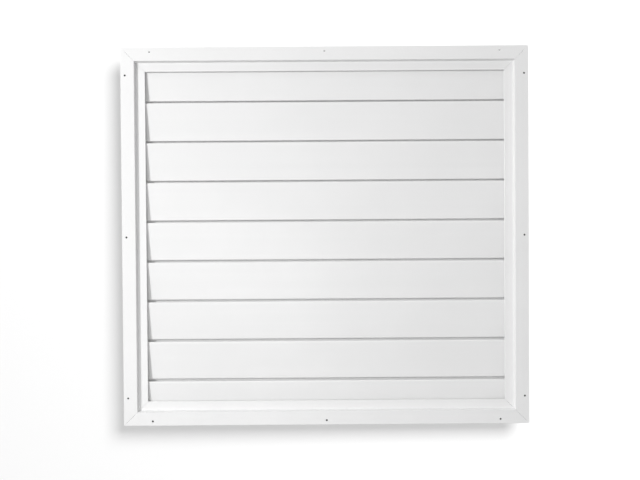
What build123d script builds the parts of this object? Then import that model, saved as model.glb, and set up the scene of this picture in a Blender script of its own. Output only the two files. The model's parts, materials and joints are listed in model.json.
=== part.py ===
from build123d import *
import math
import os

# A whole house fan shutter: a mitred, extruded aluminium frame with nine linked gravity blades.
# The room side faces -Y and the fan side +Y. X is across the blades and Z is up the frame.
# The origin is the centre of the screw pattern, on the back face of the mounting flange.

# Overall size and count
FRAME_W = 901.7
FRAME_H = 838.2
BLADE_COUNT = 9

# Frame section, where u runs inward from the frame's outer edge
FLANGE_T = 1.6
FLANGE_W = 29.6
FLANGE_OVERHANG = 19.05
STEP_RUN = 2.4
STEP_DEPTH = 10.0
STRIP_T = 1.4
STRIP_W = 20.1
BEAD_R = 1.3
BEAD_FORWARD = 0.2
DUCT_DEPTH = 57.0
DUCT_T = 1.6
FILLET_R = 1.0
MITRE_GAP = 0.2

# Screw holes in the flange: one in the middle of each side, and one set in from each end
SCREW_HOLE_D = 4.4
SCREW_SET_IN_X = 63.85
SCREW_SET_IN_Z = 61.1

# Blades
BLADE_T = 0.8
BLADE_REST_GAP = 1.7
CURL_SLIT_FROM = 195.0
CURL_SLIT_TO = 300.0
LAP_SLOT = 3.0
LIP_W = 12.0
LIP_ANGLE = 55.0
LIP_BEND_R = 1.2
BLADE_LEFT_CLEAR = 5.0
BLADE_FRONT_CLEAR = 3.1
LAST_BLADE_CLEAR = 3.5
FIRST_PIVOT_DROP = 13.65
LAST_PIVOT_RISE = 72.05

# Hinge rods and their bushings
ROD_D = 4.0
ROD_PROUD = 2.6
CURL_FIT = 0.1
PRESS_FIT = 0.02
RUN_FIT = 0.05
BUSH_W = 7.0
BUSH_PROUD = 2.0
BORE_SIDES = 12
COLLAR_W = 10.0
COLLAR_L = 3.0

# Linkage in the right jamb
CRANK_R = 34.0
CRANK_ANGLE = 16.0
CRANK_T = 2.0
CRANK_NOSE_R = 3.6
CRANK_TIP_R = 5.0
CRANK_SIDES = 8
HUB_START_CLEAR = 0.75
HUB_END_CLEAR = 0.5
BLADE_TO_CRANK = 2.15
LINK_GAP = 0.6
TIE_BAR_W = 10.0
TIE_BAR_T = 2.0
TIE_BAR_CORNER = 2.5
PIN_D = 4.0
PIN_HEAD_R = 3.6
PIN_HEAD_SIDES = 6
PIN_HEAD_T = 1.2
OPEN_PIVOT_FIT = 0.25
JAMB_ROOM = 24.7

# Corner keys
KEY_LEG = 36.0
KEY_W = 28.0
KEY_T = 2.0
KEY_SETBACK = 22.0
KEY_BEND_R = 1.5

# Closing strip behind the bottom of the frame
SEAL_W = 12.0
SEAL_FROM_EDGE = 4.0
SEAL_GAP = 0.4

# Places that follow from the sizes above
FRONT_Y = -FLANGE_T
STRIP_Y = FRONT_Y + STEP_DEPTH
STRIP_BACK_Y = STRIP_Y + STRIP_T
DUCT_BACK_Y = FRONT_Y + DUCT_DEPTH
STEP_FOOT_U = FLANGE_W + STEP_RUN
OPENING_U = STEP_FOOT_U + STRIP_W
DUCT_U = FLANGE_OVERHANG + DUCT_T
OPENING_HALF_W = FRAME_W / 2 - OPENING_U
OPENING_HALF_H = FRAME_H / 2 - OPENING_U
DUCT_HALF_W = FRAME_W / 2 - DUCT_U
DUCT_HALF_H = FRAME_H / 2 - DUCT_U
SCREW_U = FLANGE_OVERHANG / 2
SCREW_REACH_X = FRAME_W / 2 - SCREW_SET_IN_X
SCREW_REACH_Z = FRAME_H / 2 - SCREW_SET_IN_Z

CURL_IN_R = ROD_D / 2 + CURL_FIT
CURL_OUT_R = CURL_IN_R + BLADE_T
PIVOT_Y = STRIP_BACK_Y + BLADE_FRONT_CLEAR + CURL_OUT_R
FIRST_PIVOT_Z = DUCT_HALF_H - FIRST_PIVOT_DROP
LAST_PIVOT_Z = LAST_PIVOT_RISE - DUCT_HALF_H
BLADE_PITCH = (FIRST_PIVOT_Z - LAST_PIVOT_Z) / (BLADE_COUNT - 1)
CLOSED_ANGLE = math.degrees(math.atan((2 * CURL_OUT_R + BLADE_REST_GAP) / BLADE_PITCH))
BLADE_FLAT = BLADE_PITCH - CURL_OUT_R - LAP_SLOT
LAST_BLADE_FLAT = LAST_PIVOT_RISE - LAST_BLADE_CLEAR - LIP_W * math.cos(math.radians(LIP_ANGLE))
BLADE_LEFT_X = -DUCT_HALF_W + BLADE_LEFT_CLEAR
BLADE_RIGHT_X = DUCT_HALF_W - JAMB_ROOM

CRANK_X = BLADE_RIGHT_X + BLADE_TO_CRANK
TIE_BAR_X = CRANK_X + CRANK_T + LINK_GAP
PIN_HEAD_X = TIE_BAR_X + TIE_BAR_T + LINK_GAP
PIN_OFFSET_Y = CRANK_R * math.sin(math.radians(CRANK_ANGLE))
PIN_OFFSET_Z = -CRANK_R * math.cos(math.radians(CRANK_ANGLE))

BLADES = range(1, BLADE_COUNT + 1)
DRIVER_BLADE = (BLADE_COUNT + 1) // 2


def pivot_z(blade):
    """Height of a blade's hinge axis, counted from the top blade."""
    return FIRST_PIVOT_Z - (blade - 1) * BLADE_PITCH


def at_side(part, turn):
    """Turns what is built for the bottom rail to its side of the frame."""
    return Rot(0, turn, 0) * part


def x_cylinder(radius, start, end, y=0.0, z=0.0):
    """A round bar along X from start to end."""
    bar = extrude(Plane.YZ * Pos(y, z) * Circle(radius), end - start)
    return Pos(start, 0, 0) * bar


# The frame's four rails

def step_u(y):
    """Inward place of the sloped step's face at a depth y."""
    return FLANGE_W + (y - FRONT_Y) * STEP_RUN / STEP_DEPTH


def rail_section():
    """Flange, duct wall, sloped step and inner strip with a rolled bead, in depth and u."""
    slant_t = FLANGE_T * math.hypot(STEP_RUN, STEP_DEPTH) / STEP_DEPTH
    face = Polygon(
        (FRONT_Y, 0),
        (FRONT_Y, FLANGE_W),
        (STRIP_Y, STEP_FOOT_U),
        (STRIP_Y, OPENING_U - BEAD_R),
        (STRIP_BACK_Y, OPENING_U - BEAD_R),
        (STRIP_BACK_Y, step_u(STRIP_BACK_Y) - slant_t),
        (0, step_u(0) - slant_t),
        (0, 0),
        align=None,
    )
    wall = Pos(DUCT_BACK_Y / 2, DUCT_U - DUCT_T / 2) * Rectangle(DUCT_BACK_Y, DUCT_T)
    overlap = Pos(-FLANGE_T / 4, DUCT_U - DUCT_T / 2) * Rectangle(FLANGE_T / 2, DUCT_T)
    bead = Pos(STRIP_Y + BEAD_R - BEAD_FORWARD, OPENING_U - BEAD_R) * Circle(BEAD_R)
    return face + wall + overlap + bead


def rail_bar(half_length):
    """The uncut extrusion, with a fillet on both sides of the duct wall's root."""
    bar = extrude(Plane.YZ * rail_section(), half_length, both=True)
    roots = [
        edge
        for edge in bar.edges().filter_by(Axis.X)
        if abs(edge.center().Y) < 1e-6 and abs(edge.center().Z - DUCT_U + DUCT_T / 2) < DUCT_T
    ]
    return fillet(roots, FILLET_R)


def mitre_prism(half_length):
    """Keeps what lies between the two 45 degree mitre planes of a rail."""
    reach = OPENING_U + 1
    outline = Polygon(
        (-half_length + MITRE_GAP, 0),
        (half_length - MITRE_GAP, 0),
        (half_length - MITRE_GAP - reach, reach),
        (-half_length + MITRE_GAP + reach, reach),
        align=None,
    )
    prism = extrude(Plane.XZ * outline, DUCT_DEPTH, both=True)
    return prism


def rail(half_length, half_across, screw_reach, pivots=()):
    """One mitred rail in the bottom place, with its screw holes and square bushing holes."""
    bar = rail_bar(half_length) & mitre_prism(half_length)
    for x in (-screw_reach, 0, screw_reach):
        bar -= Pos(x, 0, SCREW_U) * Rot(90, 0, 0) * Cylinder(SCREW_HOLE_D / 2, 4 * FLANGE_T)
    square = BUSH_W + 2 * PRESS_FIT
    for x in pivots:
        bar -= Pos(x, PIVOT_Y, DUCT_U) * Box(square, square, 4 * DUCT_T)
    return Pos(0, 0, -half_across) * bar


def rails():
    """The four rails by name. Seen from the front, left is at -X."""
    heights = [pivot_z(k) for k in BLADES]
    half_w = FRAME_W / 2
    half_h = FRAME_H / 2
    across = rail(half_w, half_h, SCREW_REACH_X)
    left = rail(half_h, half_w, SCREW_REACH_Z, [-z for z in heights])
    right = rail(half_h, half_w, SCREW_REACH_Z, heights)
    return {
        "bottom_rail": across,
        "top_rail": at_side(across, 180),
        "left_rail": at_side(left, 90),
        "right_rail": at_side(right, -90),
    }


# Corner keys

def corner_key():
    """A bent angle, staked to two rails inside their duct walls, in the bottom left corner."""
    corner = Pos(-DUCT_HALF_W, -DUCT_HALF_H)
    square = Rectangle(KEY_LEG, KEY_LEG, align=(Align.MIN, Align.MIN))
    angle = corner * (square - Pos(KEY_T, KEY_T) * square)
    bend_x = -DUCT_HALF_W + KEY_T
    bend_z = -DUCT_HALF_H + KEY_T
    bend = angle.vertices().sort_by(lambda v: math.dist((v.X, v.Y), (bend_x, bend_z)))
    angle = fillet(bend[0], KEY_BEND_R)
    return Pos(0, KEY_SETBACK + KEY_W, 0) * extrude(Plane.XZ * angle, KEY_W)


def corner_keys():
    """The same key in all four corners, mirrored across X and Z."""
    key = corner_key()
    upper = mirror(key, Plane.XY)
    return {
        "bottom_left_corner_key": key,
        "bottom_right_corner_key": mirror(key, Plane.YZ),
        "top_left_corner_key": upper,
        "top_right_corner_key": mirror(upper, Plane.YZ),
    }


# Blades and hinge rods

def blade_section(flat_length):
    """Hinge curl, flat and back-bent lip, hanging down from the hinge axis in depth and height."""
    ring = Circle(CURL_OUT_R) - Circle(CURL_IN_R)
    reach = 3 * CURL_OUT_R
    slit = Polygon(
        (0, 0),
        (reach * math.cos(math.radians(CURL_SLIT_FROM)), reach * math.sin(math.radians(CURL_SLIT_FROM))),
        (-reach, -reach),
        (reach, -reach),
        (reach * math.cos(math.radians(CURL_SLIT_TO)), reach * math.sin(math.radians(CURL_SLIT_TO))),
        align=None,
    )
    top = Pos(-CURL_OUT_R, 0)
    low = (Align.MIN, Align.MAX)
    flat = top * Rectangle(BLADE_T, flat_length, align=low)
    lip = top * Pos(0, -flat_length) * Rot(0, 0, LIP_ANGLE) * Rectangle(BLADE_T, LIP_W, align=low)
    sheet = (ring - slit) + flat + lip
    bend = sheet.vertices().sort_by(lambda v: math.dist((v.X, v.Y), (-CURL_OUT_R, -flat_length)))
    return fillet(bend[0], LIP_BEND_R)


def blade(number):
    """One roll-formed blade, closed and lying back at its rest angle."""
    section = blade_section(LAST_BLADE_FLAT if number == BLADE_COUNT else BLADE_FLAT)
    section = Rot(0, 0, CLOSED_ANGLE) * section
    sheet = extrude(Plane.YZ * section, BLADE_RIGHT_X - BLADE_LEFT_X)
    return Pos(BLADE_LEFT_X, PIVOT_Y, pivot_z(number)) * sheet


def hinge_rod(number):
    """The rod that a blade's curl is crimped on. It turns in the frame's bushings."""
    reach = DUCT_HALF_W + DUCT_T + ROD_PROUD
    return x_cylinder(ROD_D / 2, -reach, reach, PIVOT_Y, pivot_z(number))


def bushing(z):
    """A square nylon bushing with an inner collar, pressed in the right duct wall. Its bore has
    flats, which touch the rod along lines and leave room for dust between them."""
    inner = DUCT_HALF_W
    low = (Align.MIN, Align.CENTER, Align.CENTER)
    shank = Pos(inner, PIVOT_Y, z) * Box(DUCT_T + BUSH_PROUD, BUSH_W, BUSH_W, align=low)
    collar = Pos(inner - COLLAR_L, PIVOT_Y, z) * Box(COLLAR_L, COLLAR_W, COLLAR_W, align=low)
    flats = RegularPolygon(ROD_D / 2 + RUN_FIT, BORE_SIDES, major_radius=False)
    bore = extrude(Plane.YZ * Pos(PIVOT_Y, z) * flats, 2 * COLLAR_L, both=True)
    return shank + collar - Pos(inner, 0, 0) * bore


def bushings(side):
    """The bushings of one jamb, as a row of like pieces. side is -1 at the left."""
    row = [bushing(pivot_z(k)) for k in BLADES]
    if side < 0:
        row = [mirror(b, Plane.YZ) for b in row]
    return Compound(children=row)


# Linkage in the right jamb

def crank_profile(radius, sides, y=0.0, z=0.0):
    """A regular polygon in the depth and height plane, about a point."""
    return Pos(y, z) * RegularPolygon(radius, sides)


def crank(number):
    """A die-cast lever: a long hub on the hinge rod, an arm, and a headed link pin at its tip."""
    y = PIVOT_Y
    z = pivot_z(number)
    pin_y = y + PIN_OFFSET_Y
    pin_z = z + PIN_OFFSET_Z
    nose = crank_profile(CRANK_NOSE_R, CRANK_SIDES, y, z)
    tip = crank_profile(CRANK_TIP_R, CRANK_SIDES, pin_y, pin_z)
    arm = extrude(Plane.YZ * make_hull((nose + tip).edges()), CRANK_T)
    hub_start = BLADE_RIGHT_X + HUB_START_CLEAR
    hub_end = DUCT_HALF_W - COLLAR_L - HUB_END_CLEAR
    hub = extrude(Plane.YZ * nose, hub_end - hub_start)
    head = extrude(Plane.YZ * crank_profile(PIN_HEAD_R, PIN_HEAD_SIDES, pin_y, pin_z), PIN_HEAD_T)
    lever = Pos(CRANK_X, 0, 0) * arm + Pos(hub_start, 0, 0) * hub
    lever += x_cylinder(PIN_D / 2, CRANK_X, PIN_HEAD_X, pin_y, pin_z)
    lever += Pos(PIN_HEAD_X, 0, 0) * head
    return lever - x_cylinder(ROD_D / 2 + PRESS_FIT, hub_start - 1, hub_end + 1, y, z)


def tie_bar():
    """The flat bar that joins all the cranks. Its holes turn on the link pins."""
    y = PIVOT_Y + PIN_OFFSET_Y
    top = pivot_z(1) + PIN_OFFSET_Z + TIE_BAR_W / 2
    bottom = pivot_z(BLADE_COUNT) + PIN_OFFSET_Z - TIE_BAR_W / 2
    outline = Rectangle(TIE_BAR_W, top - bottom)
    outline = Pos(y, (top + bottom) / 2) * chamfer(outline.vertices(), TIE_BAR_CORNER)
    bar = Pos(TIE_BAR_X, 0, 0) * extrude(Plane.YZ * outline, TIE_BAR_T)
    for k in BLADES:
        fit = RUN_FIT if k == DRIVER_BLADE else OPEN_PIVOT_FIT
        z = pivot_z(k) + PIN_OFFSET_Z
        bar -= x_cylinder(PIN_D / 2 + fit, TIE_BAR_X - 1, TIE_BAR_X + TIE_BAR_T + 1, y, z)
    return bar


# Closing strip

def closing_seal():
    """A felt strip on the back of the bottom rail's inner strip, where the last blade rests."""
    top = -OPENING_HALF_H - SEAL_FROM_EDGE
    blade_y = PIVOT_Y - CURL_OUT_R
    blade_y += (LAST_PIVOT_Z - top) * math.tan(math.radians(CLOSED_ANGLE))
    depth = blade_y - SEAL_GAP - STRIP_BACK_Y
    low = (Align.CENTER, Align.MIN, Align.MAX)
    return Pos(0, STRIP_BACK_Y, top) * Box(2 * OPENING_HALF_W, depth, SEAL_W, align=low)


def pieces():
    """Every piece by the name of its node."""
    found = dict(rails())
    found.update(corner_keys())
    found["left_bushings"] = bushings(-1)
    found["right_bushings"] = bushings(1)
    found["closing_seal"] = closing_seal()
    for k in BLADES:
        found[f"blade_{k}"] = blade(k)
        found[f"hinge_rod_{k}"] = hinge_rod(k)
        found[f"crank_{k}"] = crank(k)
    found["tie_bar"] = tie_bar()
    return found


os.makedirs("parts", exist_ok=True)
for name, piece in pieces().items():
    export_step(piece, f"parts/{name}.step")
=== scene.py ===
import bpy
import bmesh
import json
import math
from mathutils import Matrix, Vector, noise


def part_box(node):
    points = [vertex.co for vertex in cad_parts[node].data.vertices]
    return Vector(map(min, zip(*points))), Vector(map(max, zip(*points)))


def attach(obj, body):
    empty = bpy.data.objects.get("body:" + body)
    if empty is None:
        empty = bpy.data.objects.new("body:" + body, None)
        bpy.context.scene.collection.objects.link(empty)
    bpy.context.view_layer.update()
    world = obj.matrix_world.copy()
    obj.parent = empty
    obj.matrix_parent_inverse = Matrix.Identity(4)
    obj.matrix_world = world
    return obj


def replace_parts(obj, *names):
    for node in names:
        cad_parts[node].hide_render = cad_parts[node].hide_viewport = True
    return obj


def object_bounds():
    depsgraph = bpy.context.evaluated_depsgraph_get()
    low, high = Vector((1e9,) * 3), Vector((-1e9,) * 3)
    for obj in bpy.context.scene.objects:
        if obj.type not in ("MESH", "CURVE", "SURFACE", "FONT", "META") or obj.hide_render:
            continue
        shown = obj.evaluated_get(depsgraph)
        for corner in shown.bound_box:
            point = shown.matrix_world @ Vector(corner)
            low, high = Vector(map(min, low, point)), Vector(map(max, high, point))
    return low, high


# A whole house fan shutter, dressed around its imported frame. Metres, room side towards -Y.

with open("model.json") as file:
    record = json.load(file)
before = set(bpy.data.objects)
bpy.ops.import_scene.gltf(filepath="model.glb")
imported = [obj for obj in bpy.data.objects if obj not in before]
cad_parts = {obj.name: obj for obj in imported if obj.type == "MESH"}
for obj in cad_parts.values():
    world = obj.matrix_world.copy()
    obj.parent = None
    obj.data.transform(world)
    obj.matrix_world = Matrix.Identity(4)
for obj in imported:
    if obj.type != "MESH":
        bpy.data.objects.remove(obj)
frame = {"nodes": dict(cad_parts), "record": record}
CAD_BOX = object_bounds()
NODES = frame["nodes"]
BODY_OF = {
    node: body
    for body, nodes in frame["record"]["behaviour"]["bodies"].items()
    for node in nodes
}

MM = 0.001
BLADES = range(1, 10)

# Sizes of the blade's section, in millimetres and degrees. The lip steps back and then hangs down,
# between the same end points as the solid's plain lip. LIP_RAISED is how much higher its flat ends.
BLADE_T = 0.8
CURL_R = 2.5
CURL_FROM = -60.0
LIP_DEPTH = 9.83
LIP_DROP = 6.88
LIP_STEP_ANGLE = 85.0
LIP_BEND_R = 1.2
LIP_RAISED = 1.5
CLOSED_ANGLE = 4.823
WAVE = 0.25
WAVES_ALONG = 7
WAVES_DOWN = 1.6
WAVE_APART = 17.3
CURL_STEPS = 24
FLAT_STEPS = 16
LIP_STEPS = 4
BLADE_STEPS = 64

# The felt strip: corner radius in millimetres, steps, the share worn off its free face, and
# how fine the wear is along x, y and z
FELT_CORNER = 1.2
FELT_CORNER_STEPS = 4
FELT_SIDE_STEPS = 6
FELT_STEPS = 360
FELT_WORN = 0.08
FELT_COARSE = (90, 300, 300)
FELT_FINE = (320, 600, 600)
FELT_FINE_SHARE = 0.6

# Widths of the rounded edges, in millimetres
RAIL_EDGE = 0.25
FITTING_EDGE = 0.3
ROD_EDGE = 0.4
STRIP_EDGE = 0.2

# Softening: points closer than WELD metres are one, faces within FLAT degrees are joined, and
# edges sharper than SHARP degrees are rounded
WELD = 2e-6
FLAT = 0.6
SHARP = 40


# Node helpers

def set_range(node, start, end, low, high):
    """Sets a Map Range node to turn start..end into low..high."""
    for key, number in (("From Min", start), ("From Max", end), ("To Min", low), ("To Max", high)):
        node.inputs[key].default_value = number


class Shader:
    """A material with a Principled shader, and short calls to add and link its nodes."""

    def __init__(self, name):
        self.material = bpy.data.materials.new(name)
        self.material.use_nodes = True
        self.tree = self.material.node_tree
        self.shader = self.tree.nodes["Principled BSDF"]
        self.output = self.tree.nodes["Material Output"]
        self.place = self.add("ShaderNodeTexCoord").outputs["Object"]

    def add(self, kind, **settings):
        node = self.tree.nodes.new(kind)
        for key, value in settings.items():
            setattr(node, key, value)
        return node

    def link(self, source, target):
        self.tree.links.new(source, target)

    def plain(self, **values):
        """Sets numbers that are the same all over on the shader's own sockets."""
        for key, value in values.items():
            self.shader.inputs[key.replace("_", " ")].default_value = value

    def stretched(self, x, y, z):
        """Object coordinates, scaled per axis."""
        mapping = self.add("ShaderNodeMapping")
        mapping.inputs["Scale"].default_value = (x, y, z)
        self.link(self.place, mapping.inputs["Vector"])
        return mapping.outputs["Vector"]

    def noise(self, scale, detail, roughness=0.55, vector=None):
        node = self.add("ShaderNodeTexNoise")
        node.inputs["Scale"].default_value = scale
        node.inputs["Detail"].default_value = detail
        node.inputs["Roughness"].default_value = roughness
        self.link(vector or self.place, node.inputs["Vector"])
        return node.outputs["Fac"]

    def ranged(self, value, low, high, start=0.3, end=0.7):
        """Maps a value from start..end to low..high."""
        node = self.add("ShaderNodeMapRange")
        self.link(value, node.inputs["Value"])
        set_range(node, start, end, low, high)
        return node.outputs["Result"]

    def ramp(self, value, *stops):
        """A colour ramp through (place, colour) stops."""
        node = self.add("ShaderNodeValToRGB")
        elements = node.color_ramp.elements
        while len(elements) < len(stops):
            elements.new(0.5)
        for element, (place, colour) in zip(elements, stops):
            element.position = place
            element.color = (*colour, 1)
        self.link(value, node.inputs["Fac"])
        return node.outputs["Color"]

    def mixed(self, factor, first, second):
        """Mixes two colours, each a socket or a plain colour."""
        node = self.add("ShaderNodeMix", data_type="RGBA")
        for value, socket in ((factor, 0), (first, 6), (second, 7)):
            if isinstance(value, tuple):
                node.inputs[socket].default_value = (*value, 1)
            else:
                self.link(value, node.inputs[socket])
        return node.outputs[2]

    def bump(self, *layers):
        """Stacks (height, strength, distance in mm) layers, the first one lowest."""
        normal = None
        for height, strength, distance in layers:
            node = self.add("ShaderNodeBump")
            node.inputs["Strength"].default_value = strength
            node.inputs["Distance"].default_value = distance * MM
            self.link(height, node.inputs["Height"])
            if normal:
                self.link(normal, node.inputs["Normal"])
            normal = node.outputs["Normal"]
        self.link(normal, self.shader.inputs["Normal"])

    def colour(self, socket):
        self.link(socket, self.shader.inputs["Base Color"])

    def roughness(self, socket):
        self.link(socket, self.shader.inputs["Roughness"])


# Materials

def enamel(name, tone, streak):
    """Baked white enamel on aluminium: faint flow along the length, and a fine orange peel."""
    m = Shader(name)
    cloud = m.noise(5, 4)
    flow = m.noise(9, 5, 0.6, m.stretched(*streak))
    shade = tuple(0.965 * c for c in tone)
    base = m.mixed(m.ranged(cloud, 0.0, 1.0), shade, tone)
    m.colour(m.mixed(m.ranged(flow, 0.0, 0.35), base, tuple(0.975 * c for c in shade)))
    m.roughness(m.ranged(m.noise(60, 4), 0.34, 0.46))
    m.plain(Coat_Weight=0.12, Coat_Roughness=0.28)
    m.bump((m.noise(620, 2), 0.10, 0.06), (m.noise(2600, 2), 0.05, 0.02))
    return m.material


def aluminium(name, streak):
    """Mill finish, with draw lines along the length and dull patches."""
    m = Shader(name)
    lines = m.noise(260, 6, 0.7, m.stretched(*streak))
    patch = m.noise(34, 4)
    tone = m.ramp(lines, (0.25, (0.60, 0.61, 0.62)), (0.75, (0.76, 0.77, 0.78)))
    m.colour(m.mixed(m.ranged(patch, 0.0, 0.3), tone, (0.55, 0.56, 0.57)))
    m.roughness(m.ranged(patch, 0.32, 0.5))
    m.plain(Metallic=1.0)
    m.bump((lines, 0.25, 0.03))
    return m.material


def zinc(name):
    """Bright zinc plate, a little cloudy, with fine spangle."""
    m = Shader(name)
    cells = m.add("ShaderNodeTexVoronoi")
    cells.inputs["Scale"].default_value = 420
    m.link(m.place, cells.inputs["Vector"])
    cloud = m.noise(90, 4)
    tone = m.ramp(cloud, (0.3, (0.50, 0.515, 0.54)), (0.7, (0.68, 0.69, 0.70)))
    spangle = m.ranged(cells.outputs["Distance"], 0.0, 0.15, 0.0, 0.9)
    m.colour(m.mixed(spangle, tone, (0.42, 0.43, 0.45)))
    m.roughness(m.ranged(m.noise(300, 3), 0.24, 0.42))
    m.plain(Metallic=1.0)
    m.bump((m.noise(900, 3), 0.12, 0.03))
    return m.material


def nylon(name):
    """Natural moulded nylon, milky and slightly waxy."""
    m = Shader(name)
    m.colour(m.ramp(m.noise(70, 3), (0.3, (0.76, 0.74, 0.67)), (0.7, (0.83, 0.81, 0.75))))
    m.roughness(m.ranged(m.noise(400, 3), 0.42, 0.6))
    m.plain(Subsurface_Weight=0.08, Subsurface_Scale=0.002)
    m.bump((m.noise(1500, 2), 0.12, 0.03))
    return m.material


def felt(name):
    """Pressed grey felt: short fibres in mixed greys, and painted shade in the hollows between
    them.
    """
    m = Shader(name)
    fibres = m.noise(1400, 6, 0.75, m.stretched(0.35, 1, 1))
    tufts = m.noise(160, 4)
    # The fibre ramp darkens the colour where the fibre bump is low: painted shade in the hollows
    # between fibres.
    tone = m.ramp(fibres, (0.3, (0.25, 0.25, 0.245)), (0.72, (0.55, 0.55, 0.54)))
    m.colour(m.mixed(m.ranged(tufts, 0.0, 0.3), tone, (0.30, 0.30, 0.295)))
    m.plain(Roughness=0.95, Sheen_Weight=0.4, Sheen_Roughness=0.6)
    m.bump((tufts, 0.5, 0.5), (fibres, 0.8, 0.25))
    return m.material


WHITE = (0.86, 0.86, 0.86)
ENAMEL_X = enamel("enamel_along_x", WHITE, (0.06, 1, 6))
ENAMEL_Z = enamel("enamel_along_z", WHITE, (6, 1, 0.06))
ALUMINIUM_Y = aluminium("mill_aluminium_across", (1, 0.03, 1))
ZINC = zinc("zinc_plate")
NYLON = nylon("natural_nylon")
FELT = felt("grey_felt")


def finish_of(node):
    """The material of a piece, by its node's name."""
    if node in ("left_rail", "right_rail"):
        return ENAMEL_Z
    if node.endswith("_rail") or node.startswith("blade"):
        return ENAMEL_X
    if node.endswith("_key"):
        return ALUMINIUM_Y
    if node.endswith("bushings"):
        return NYLON
    if node == "closing_seal":
        return FELT
    return ZINC


for node_name, node_object in NODES.items():
    node_object.data.materials.clear()
    node_object.data.materials.append(finish_of(node_name))


# Pieces that stand for CAD nodes

def add_piece(name, mesh, node):
    """A finished mesh that rides, and takes its finish, as its CAD node does."""
    mesh.materials.clear()
    mesh.materials.append(finish_of(node))
    piece = bpy.data.objects.new(name, mesh)
    bpy.context.scene.collection.objects.link(piece)
    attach(piece, BODY_OF[node])
    return piece


def smooth(mesh, angle=32):
    """Smooth shading, with creases sharper than angle kept."""
    mesh.shade_smooth()
    mesh.set_sharp_from_angle(angle=math.radians(angle))


def softened(node, width):
    """Replaces a node by its own form with the sharp edges rounded off, width in millimetres."""
    work = bmesh.new()
    work.from_mesh(NODES[node].data)
    bmesh.ops.remove_doubles(work, verts=work.verts, dist=WELD)
    bmesh.ops.dissolve_limit(
        work, angle_limit=math.radians(FLAT), verts=work.verts, edges=work.edges
    )
    mesh = bpy.data.meshes.new(node + "_soft")
    work.to_mesh(mesh)
    work.free()
    holder = bpy.data.objects.new(node + "_work", mesh)
    bpy.context.scene.collection.objects.link(holder)
    bevel = holder.modifiers.new("edges", "BEVEL")
    bevel.width = width * MM
    bevel.segments = 2
    bevel.limit_method = "ANGLE"
    bevel.angle_limit = math.radians(SHARP)
    bevel.use_clamp_overlap = True
    bevel.miter_outer = "MITER_ARC"
    weights = holder.modifiers.new("normals", "WEIGHTED_NORMAL")
    weights.keep_sharp = True
    smooth(mesh)
    graph = bpy.context.evaluated_depsgraph_get()
    final = bpy.data.meshes.new_from_object(holder.evaluated_get(graph))
    bpy.data.objects.remove(holder)
    final.name = node + "_piece"
    piece = add_piece(node + "_piece", final, node)
    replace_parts(piece, node)


def swept(name, rings):
    """A closed mesh through rings of equally many points, capped at both ends."""
    count, last = len(rings[0]), len(rings) - 1
    faces = []
    for i in range(last):
        for j in range(count):
            a, b = i * count + j, i * count + (j + 1) % count
            faces.append((a, b, b + count, a + count))
    faces.append(tuple(range(count)))
    faces.append(tuple(reversed(range(last * count, (last + 1) * count))))
    mesh = bpy.data.meshes.new(name)
    mesh.from_pydata([point for ring in rings for point in ring], [], faces)
    work = bmesh.new()
    work.from_mesh(mesh)
    bmesh.ops.recalc_face_normals(work, faces=work.faces)
    ends = [f for f in work.faces if len(f.verts) > 4]
    bmesh.ops.triangulate(work, faces=ends)
    work.to_mesh(mesh)
    work.free()
    return mesh


# Felt strip

def make_felt(node):
    """Pressed felt in its solid's space: flat where glued, worn round and uneven elsewhere."""
    low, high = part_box(node)
    half_y, half_z = (high.y - low.y) / 2, (high.z - low.z) / 2
    mid_y, mid_z = low.y + half_y, low.z + half_z
    corner = min(FELT_CORNER * MM, half_y, half_z)
    section = []
    for quarter, (way_y, way_z) in enumerate(((1, 1), (-1, 1), (-1, -1), (1, -1))):
        for i in range(FELT_CORNER_STEPS + 1):
            a = math.radians(90 * (quarter + i / FELT_CORNER_STEPS))
            section.append((
                way_y * (half_y - corner) + corner * math.cos(a),
                way_z * (half_z - corner) + corner * math.sin(a),
            ))
        dy, dz = ((0, 1), (-1, 0), (0, -1), (1, 0))[(quarter + 1) % 4]
        run = 2 * ((half_y if dy else half_z) - corner)
        y, z = section[-1]
        for i in range(1, FELT_SIDE_STEPS):
            section.append((
                y + dy * run * i / FELT_SIDE_STEPS,
                z + dz * run * i / FELT_SIDE_STEPS,
            ))
    rings = []
    for i in range(FELT_STEPS + 1):
        x = low.x + (high.x - low.x) * i / FELT_STEPS
        ring = []
        for y, z in section:
            free = (y + half_y) / (2 * half_y)
            place = (x, y, z)
            rough = noise.noise([p * s for p, s in zip(place, FELT_COARSE)])
            rough += FELT_FINE_SHARE * noise.noise([p * s for p, s in zip(place, FELT_FINE)])
            sink = FELT_WORN * free * min(max(0.5 + rough / 2, 0), 1)
            ring.append((x, mid_y + y * (1 - sink), mid_z + z * (1 - sink)))
        rings.append(ring)
    mesh = swept(f"{node}_felt", rings)
    smooth(mesh, 60)
    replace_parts(add_piece(f"{node}_felt", mesh, node), node)


make_felt("closing_seal")


# Blades

def ahead(angle):
    """The direction of a sheet that hangs down and is turned back by an angle, and its normal."""
    a = math.radians(angle)
    return (math.sin(a), -math.cos(a)), (math.cos(a), math.sin(a))


def run_on(path, length, angle, steps):
    """Goes on straight from the path's last point."""
    (dx, dy), normal = ahead(angle)
    x, y = path[-1][:2]
    for i in range(1, steps + 1):
        path.append((x + dx * length * i / steps, y + dy * length * i / steps, *normal))


def bend_on(path, start, end, steps=6):
    """Goes on round a bend of the lip's radius, from one angle to another."""
    radius = LIP_BEND_R if end > start else -LIP_BEND_R
    nx, ny = ahead(start)[1]
    x, y = path[-1][0] + radius * nx, path[-1][1] + radius * ny
    for i in range(1, steps + 1):
        nx, ny = ahead(start + (end - start) * i / steps)[1]
        path.append((x - radius * nx, y - radius * ny, nx, ny))


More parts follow.
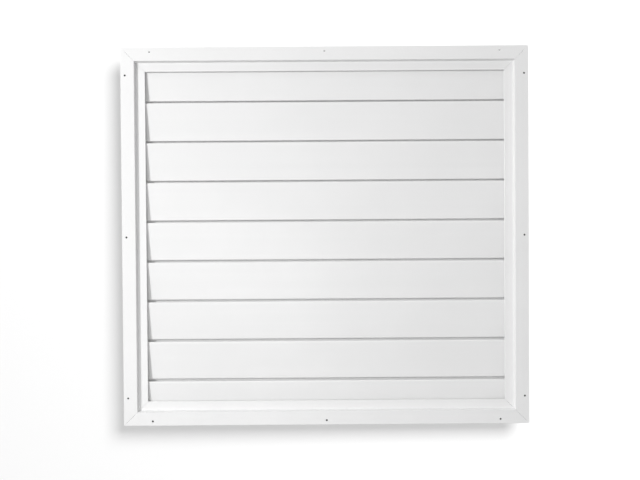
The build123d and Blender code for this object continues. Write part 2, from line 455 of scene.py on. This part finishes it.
def blade_path(flat_length):
    """The sheet's middle line in depth and height from the hinge axis, with its normals."""
    path = []
    for i in range(CURL_STEPS + 1):
        a = math.radians(CURL_FROM + (180 - CURL_FROM) * i / CURL_STEPS)
        path.append((CURL_R * math.cos(a), CURL_R * math.sin(a), -math.cos(a), -math.sin(a)))
    turn = math.radians(LIP_STEP_ANGLE)
    half = BLADE_T / 2
    reach = LIP_BEND_R * math.sin(turn)
    step = (LIP_DEPTH - BLADE_T - 2 * LIP_BEND_R * (1 - math.cos(turn)) + half) / math.sin(turn)
    run_on(path, flat_length - LIP_RAISED - half - reach, 0, FLAT_STEPS)
    bend_on(path, 0, LIP_STEP_ANGLE)
    run_on(path, step, LIP_STEP_ANGLE, LIP_STEPS)
    bend_on(path, LIP_STEP_ANGLE, 0)
    run_on(path, path[-1][1] + flat_length + LIP_DROP - half, 0, LIP_STEPS)
    return path


def outline(path):
    """Both faces of the sheet round its middle line, with rounded ends."""
    half = BLADE_T / 2
    face = [(x - nx * half, y - ny * half) for x, y, nx, ny in path]
    back = [(x + nx * half, y + ny * half) for x, y, nx, ny in path]
    ends = []
    for (x, y, nx, ny), way in ((path[-1], 1), (path[0], -1)):
        turn = [math.radians(45 * i) for i in (1, 2, 3)]
        ends.append([
            (
                x - way * half * (nx * math.cos(a) - ny * math.sin(a)),
                y - way * half * (ny * math.cos(a) + nx * math.sin(a)),
            )
            for a in turn
        ])
    return face + ends[0] + back[::-1] + ends[1]


def blade_places():
    """Each blade's hinge axis and drop below it, in millimetres, from its CAD node and rod."""
    places = {}
    for k in BLADES:
        low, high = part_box(f"hinge_rod_{k}")
        axis = (low + high) / 2
        blade_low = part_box(f"blade_{k}")[0]
        places[k] = (axis.y / MM, axis.z / MM, (axis.z - blade_low.z) / MM)
    return places


def make_blade(k, axis_y, axis_z, drop):
    """A roll-formed blade: rounded sheet edges, and a slight wave that no tool takes out."""
    tilt = math.radians(CLOSED_ANGLE)
    lip_end = LIP_DEPTH - CURL_R - BLADE_T / 2
    flat = (drop + lip_end * math.sin(tilt)) / math.cos(tilt) - LIP_DROP
    ring = outline(blade_path(flat))
    low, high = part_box(f"blade_{k}")
    rings = []
    for i in range(BLADE_STEPS + 1):
        x = low.x + (high.x - low.x) * i / BLADE_STEPS
        points = []
        for px, py in ring:
            share = min(max(-py / flat, 0), 1)
            swell = share * (1 - share) * 4
            wave = noise.noise((x * WAVES_ALONG, share * WAVES_DOWN, WAVE_APART * k))
            wave = wave * WAVE * swell
            depth = px + wave
            y = axis_y + depth * math.cos(tilt) - py * math.sin(tilt)
            z = axis_z + depth * math.sin(tilt) + py * math.cos(tilt)
            points.append((x, y * MM, z * MM))
        rings.append(points)
    mesh = swept(f"blade_{k}_sheet", rings)
    smooth(mesh)
    piece = add_piece(f"blade_{k}_sheet", mesh, f"blade_{k}")
    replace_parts(piece, f"blade_{k}")


for number, place in blade_places().items():
    make_blade(number, *place)
for node_name in sorted(NODES):
    if node_name.endswith("_rail"):
        softened(node_name, RAIL_EDGE)
    elif node_name.startswith("crank") or node_name.endswith("bushings"):
        softened(node_name, FITTING_EDGE)
    elif node_name.startswith("hinge_rod"):
        softened(node_name, ROD_EDGE)
    elif node_name.endswith("_key") or node_name == "tie_bar":
        softened(node_name, STRIP_EDGE)


# Stage: a white wall close behind the object with an opening in it, a near-black sheet beyond the
# opening as painted shade for the unlit space behind, and a pale floor below

# The opening's edges stay hidden behind the flange from the camera.
OPENING_X = (-0.4625, 0.4625)
OPENING_Z = (-0.4345, 0.4250)
OPENING_SOFT = 0.006
# DARK_BEHIND, DARK_HALF_WIDTH and DARK_TOP place the near-black painted-shade sheet beyond the
# opening.
DARK_BEHIND = 0.12
DARK_HALF_WIDTH = 0.9
DARK_TOP = 0.75
WALL_GAP = 0.0006
WALL_Y = CAD_BOX[1].y + WALL_GAP
WALL_GLOW = 0.46
FLOOR_DROP = 0.20
FLOOR_Z = CAD_BOX[0].z - FLOOR_DROP
REACH = 6.0


def plane(name, corners, material):
    """A four-cornered sheet, facing the side from which its corners run anticlockwise."""
    mesh = bpy.data.meshes.new(name)
    mesh.from_pydata(corners, [], [(0, 1, 2, 3)])
    thing = bpy.data.objects.new(name, mesh)
    bpy.context.scene.collection.objects.link(thing)
    mesh.materials.append(material)
    return thing


def one_sided(m, opening=None):
    """Makes a sheet clear when seen from behind, and where the opening given is 1."""
    side = m.add("ShaderNodeNewGeometry")
    clear = m.add("ShaderNodeMath", operation="MAXIMUM")
    clear.inputs[1].default_value = 0.0
    m.link(side.outputs["Backfacing"], clear.inputs[0])
    if opening:
        m.link(opening, clear.inputs[1])
    mix = m.add("ShaderNodeMixShader")
    m.link(clear.outputs[0], mix.inputs[0])
    m.link(m.shader.outputs[0], mix.inputs[1])
    m.link(m.add("ShaderNodeBsdfTransparent").outputs[0], mix.inputs[2])
    m.link(mix.outputs[0], m.output.inputs["Surface"])


def wall_material():
    """Matt white, with an opening behind the object that its blades can swing into."""
    m = Shader("backdrop_white")
    m.plain(Base_Color=(0.40, 0.40, 0.40, 1), Roughness=1.0, Specular_IOR_Level=0.0)
    m.plain(Emission_Color=(1, 1, 1, 1), Emission_Strength=WALL_GLOW)
    parts = m.add("ShaderNodeSeparateXYZ")
    m.link(m.place, parts.inputs["Vector"])
    inside = None
    for axis, edges in (("X", OPENING_X), ("Z", OPENING_Z)):
        for edge, way in zip(edges, (1, -1)):
            step = m.ranged(parts.outputs[axis], 0.0, 1.0, edge, edge + way * OPENING_SOFT)
            if inside is None:
                inside = step
                continue
            both = m.add("ShaderNodeMath", operation="MULTIPLY")
            m.link(inside, both.inputs[0])
            m.link(step, both.inputs[1])
            inside = both.outputs[0]
    one_sided(m, inside)
    return m.material


def painted_shade_material():
    """A near-black sheet beyond the opening: painted shade standing for the unlit space behind the
    object.
    """
    m = Shader("opening_painted_shade")
    m.plain(Base_Color=(0.06, 0.06, 0.06, 1), Roughness=1.0, Specular_IOR_Level=0.0)
    one_sided(m)
    return m.material


def floor_material():
    """Pale, very slightly mottled."""
    m = Shader("floor_pale")
    m.colour(m.ramp(m.noise(3, 3), (0.3, (0.80, 0.80, 0.80)), (0.7, (0.84, 0.84, 0.84))))
    m.plain(Roughness=0.9)
    return m.material


def upright(name, half_width, y, top, material):
    """A sheet that stands on the floor and faces the camera, and takes no part in the light."""
    corners = [
        (-half_width, y, FLOOR_Z),
        (half_width, y, FLOOR_Z),
        (half_width, y, top),
        (-half_width, y, top),
    ]
    thing = plane(name, corners, material)
    thing.visible_shadow = False
    thing.visible_diffuse = False
    thing.visible_glossy = False
    return thing


wall = upright("backdrop", REACH, WALL_Y, REACH, wall_material())
# The near-black sheet behind the opening is painted shade: it darkens what shows through the holes,
# seams and slots.
dark = upright("opening_back", DARK_HALF_WIDTH, WALL_Y + DARK_BEHIND, DARK_TOP, painted_shade_material())
floor_corners = [(-REACH, -REACH), (REACH, -REACH), (REACH, REACH), (-REACH, REACH)]
floor = plane("floor", [(x, y, FLOOR_Z) for x, y in floor_corners], floor_material())


# Camera, from the photograph

CAMERA_PLACE = (-0.0147, -1.7791, 0.020)
CAMERA_PITCH, CAMERA_YAW, CAMERA_ROLL = -0.920, 0.076, -0.397
CAMERA_LENS = 45.11
SENSOR_WIDTH = 36


def camera():
    """The photograph's viewpoint: in front, a touch above the middle, turned a little."""
    pitch, yaw, roll = (math.radians(a) for a in (CAMERA_PITCH, CAMERA_YAW, CAMERA_ROLL))
    look = Vector((
        math.sin(yaw) * math.cos(pitch),
        math.cos(yaw) * math.cos(pitch),
        math.sin(pitch),
    ))
    right = Vector((math.cos(yaw), -math.sin(yaw), 0))
    up = right.cross(look)
    right, up = (
        math.cos(roll) * right + math.sin(roll) * up,
        -math.sin(roll) * right + math.cos(roll) * up,
    )
    data = bpy.data.cameras.new("camera")
    data.lens = CAMERA_LENS
    data.sensor_width = SENSOR_WIDTH
    view = bpy.data.objects.new("camera", data)
    bpy.context.scene.collection.objects.link(view)
    turn = Matrix((right, up, -look)).transposed()
    view.matrix_world = Matrix.Translation(CAMERA_PLACE) @ turn.to_4x4()
    bpy.context.scene.camera = view


camera()


# Light

def lamp(name, place, target, size, power, receivers):
    """A square area lamp aimed at a point, which lights only the receivers' collection."""
    data = bpy.data.lights.new(name, "AREA")
    data.size = size
    data.energy = power
    thing = bpy.data.objects.new(name, data)
    bpy.context.scene.collection.objects.link(thing)
    thing.location = place
    aim = Vector(target) - Vector(place)
    thing.rotation_mode = "QUATERNION"
    thing.rotation_quaternion = aim.to_track_quat("-Z", "Y")
    thing.light_linking.receiver_collection = receivers


def group(name, things):
    """A collection for light linking."""
    made = bpy.data.collections.new(name)
    for thing in things:
        made.objects.link(thing)
    return made


ORIGIN = (0, 0, 0)
stage = (wall, dark, floor)
subject = [o for o in bpy.data.objects if o.type == "MESH" and o not in stage]
backdrop_group = group("backdrop_lit", [wall])
subject_group = group("subject_lit", subject)
floor_group = group("subject_and_floor_lit", subject + [floor])
lamp("key_left", (-2.5, -2.9, 0.9), ORIGIN, 0.6, 90, subject_group)
lamp("fill_low", (-0.4, -1.6, -0.5), (0, 0, 0.2), 0.8, 8.5, subject_group)
lamp("overhead", (0.0, -1.1, 3.2), ORIGIN, 1.6, 13, floor_group)
lamp("from_behind", (1.2, 2.6, 2.4), ORIGIN, 1.8, 34, floor_group)
lamp("backdrop_lamp", (1.9, -3.6, 2.2), ORIGIN, 2.2, 365, backdrop_group)

WORLD_FRONT = 0.405
WORLD_BACK = 0.14
WORLD_BLEND = 0.15


def studio_world():
    """Soft white light from the room's side, and less of it from behind the wall."""
    world = bpy.data.worlds.new("studio")
    bpy.context.scene.world = world
    world.use_nodes = True
    tree = world.node_tree
    place = tree.nodes.new("ShaderNodeTexCoord")
    parts = tree.nodes.new("ShaderNodeSeparateXYZ")
    level = tree.nodes.new("ShaderNodeMapRange")
    set_range(level, -WORLD_BLEND, WORLD_BLEND, WORLD_FRONT, WORLD_BACK)
    back = tree.nodes["Background"]
    back.inputs["Color"].default_value = (1, 1, 1, 1)
    tree.links.new(place.outputs["Generated"], parts.inputs["Vector"])
    tree.links.new(parts.outputs["Y"], level.inputs["Value"])
    tree.links.new(level.outputs["Result"], back.inputs["Strength"])


studio_world()

bpy.context.scene.view_settings.view_transform = "Standard"
